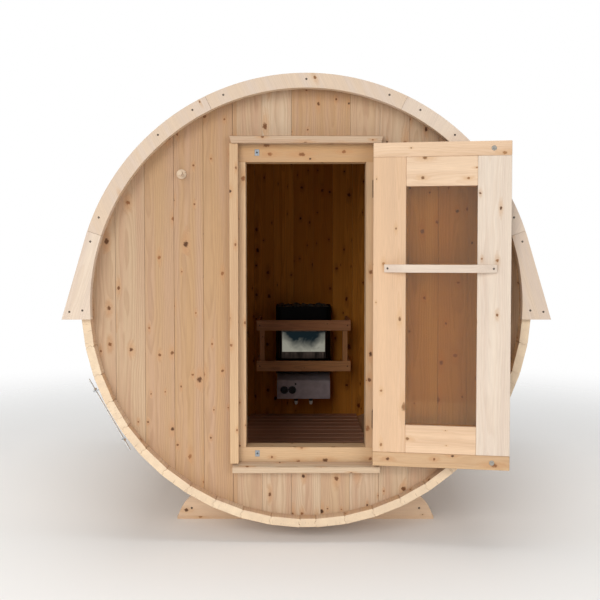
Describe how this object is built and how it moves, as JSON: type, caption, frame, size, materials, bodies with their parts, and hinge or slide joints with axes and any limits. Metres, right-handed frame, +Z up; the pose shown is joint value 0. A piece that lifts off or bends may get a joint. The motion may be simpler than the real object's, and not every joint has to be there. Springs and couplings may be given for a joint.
{
  "type": "barrel sauna",
  "caption": "Round timber barrel sauna on two cradles, with steel bands, a glazed hinged door, a slatted floor and an electric stone heater behind a guard rail.",
  "frame": {"origin": "middle of the front cradle's underside, on the ground", "axes": "+X across the front to the right, +Y along the barrel from the door end to the back, +Z up"},
  "size_m": [2.1372, 2.3199, 2.069],
  "materials": {
    "stave_wood": "planed softwood, honey coloured, knotty",
    "wall_wood": "planed softwood boards, vertical, knotty",
    "trim_wood": "planed softwood, pale",
    "door_wood": "planed softwood, pale",
    "cradle_wood": "planed softwood, pale",
    "floor_wood": "planed softwood slats, reddish brown in the shade",
    "guard_wood": "planed softwood, reddish brown",
    "band_steel": "stainless steel strap and rod",
    "catch_steel": "zinc plated steel",
    "hinge_bronze": "bronze plated steel",
    "door_glass": "clear bronze-tinted toughened glass",
    "heater_black": "black enamel",
    "heater_steel": "polished stainless sheet",
    "heater_mirror": "mirror polished stainless sheet",
    "heater_grey": "grey powder coat, fine texture",
    "heater_gland": "pale nylon",
    "stone": "dark olivine stones"
  },
  "bodies": {
    "barrel": {"staves_bottom": "stave_wood", "staves_lower_right": "stave_wood", "staves_right": "stave_wood", "staves_upper_right": "stave_wood", "staves_top": "stave_wood", "staves_upper_left": "stave_wood", "staves_left": "stave_wood", "staves_lower_left": "stave_wood", "front_wall_left": "wall_wood", "front_wall_right": "wall_wood", "front_wall_over_door": "wall_wood", "front_wall_under_door": "wall_wood", "back_wall": "wall_wood", "front_fascia_top": "trim_wood", "front_fascia_sides": "trim_wood", "front_fascia_feet": "trim_wood", "rear_fascia": "trim_wood", "door_jambs": "trim_wood", "door_header": "trim_wood", "door_sill": "trim_wood", "door_casing_sides": "trim_wood", "door_head_cap": "trim_wood", "door_sill_cap": "trim_wood", "wall_peg": "trim_wood", "front_cradle": "cradle_wood", "rear_cradle": "cradle_wood", "cradle_strips": "cradle_wood", "floor_slats": "floor_wood", "floor_bearers": "floor_wood", "guard_front_rails": "guard_wood", "guard_side_rails": "guard_wood", "guard_posts": "guard_wood", "steel_bands": "band_steel", "front_band_tensioner": "band_steel", "rear_band_tensioner": "band_steel", "strike_plates": "catch_steel", "hinge_casing_halves": "hinge_bronze", "heater_tray": "heater_black", "heater_knobs": "heater_black", "heater_body": "heater_steel", "heater_brackets": "heater_steel", "heater_mirror_panel": "heater_mirror", "heater_control_box": "heater_grey", "heater_glands": "heater_gland", "heater_stones": "stone"},
    "door": {"door_end_rails": "door_wood", "door_hinge_stile": "door_wood", "door_lock_stile": "door_wood", "door_inner_rails": "door_wood", "door_glass": "door_glass", "door_inside_handle": "door_wood", "door_outside_handle": "door_wood", "door_magnets": "catch_steel", "hinge_leaf_halves": "hinge_bronze"}
  },
  "joints": [
    {"name": "door_hinge", "type": "hinge", "parent": "barrel", "child": "door", "pos_m": [0.2965, -0.358, 0], "axis": [0, 0, 1], "range_deg": [-170.5, 0]}
  ]
}
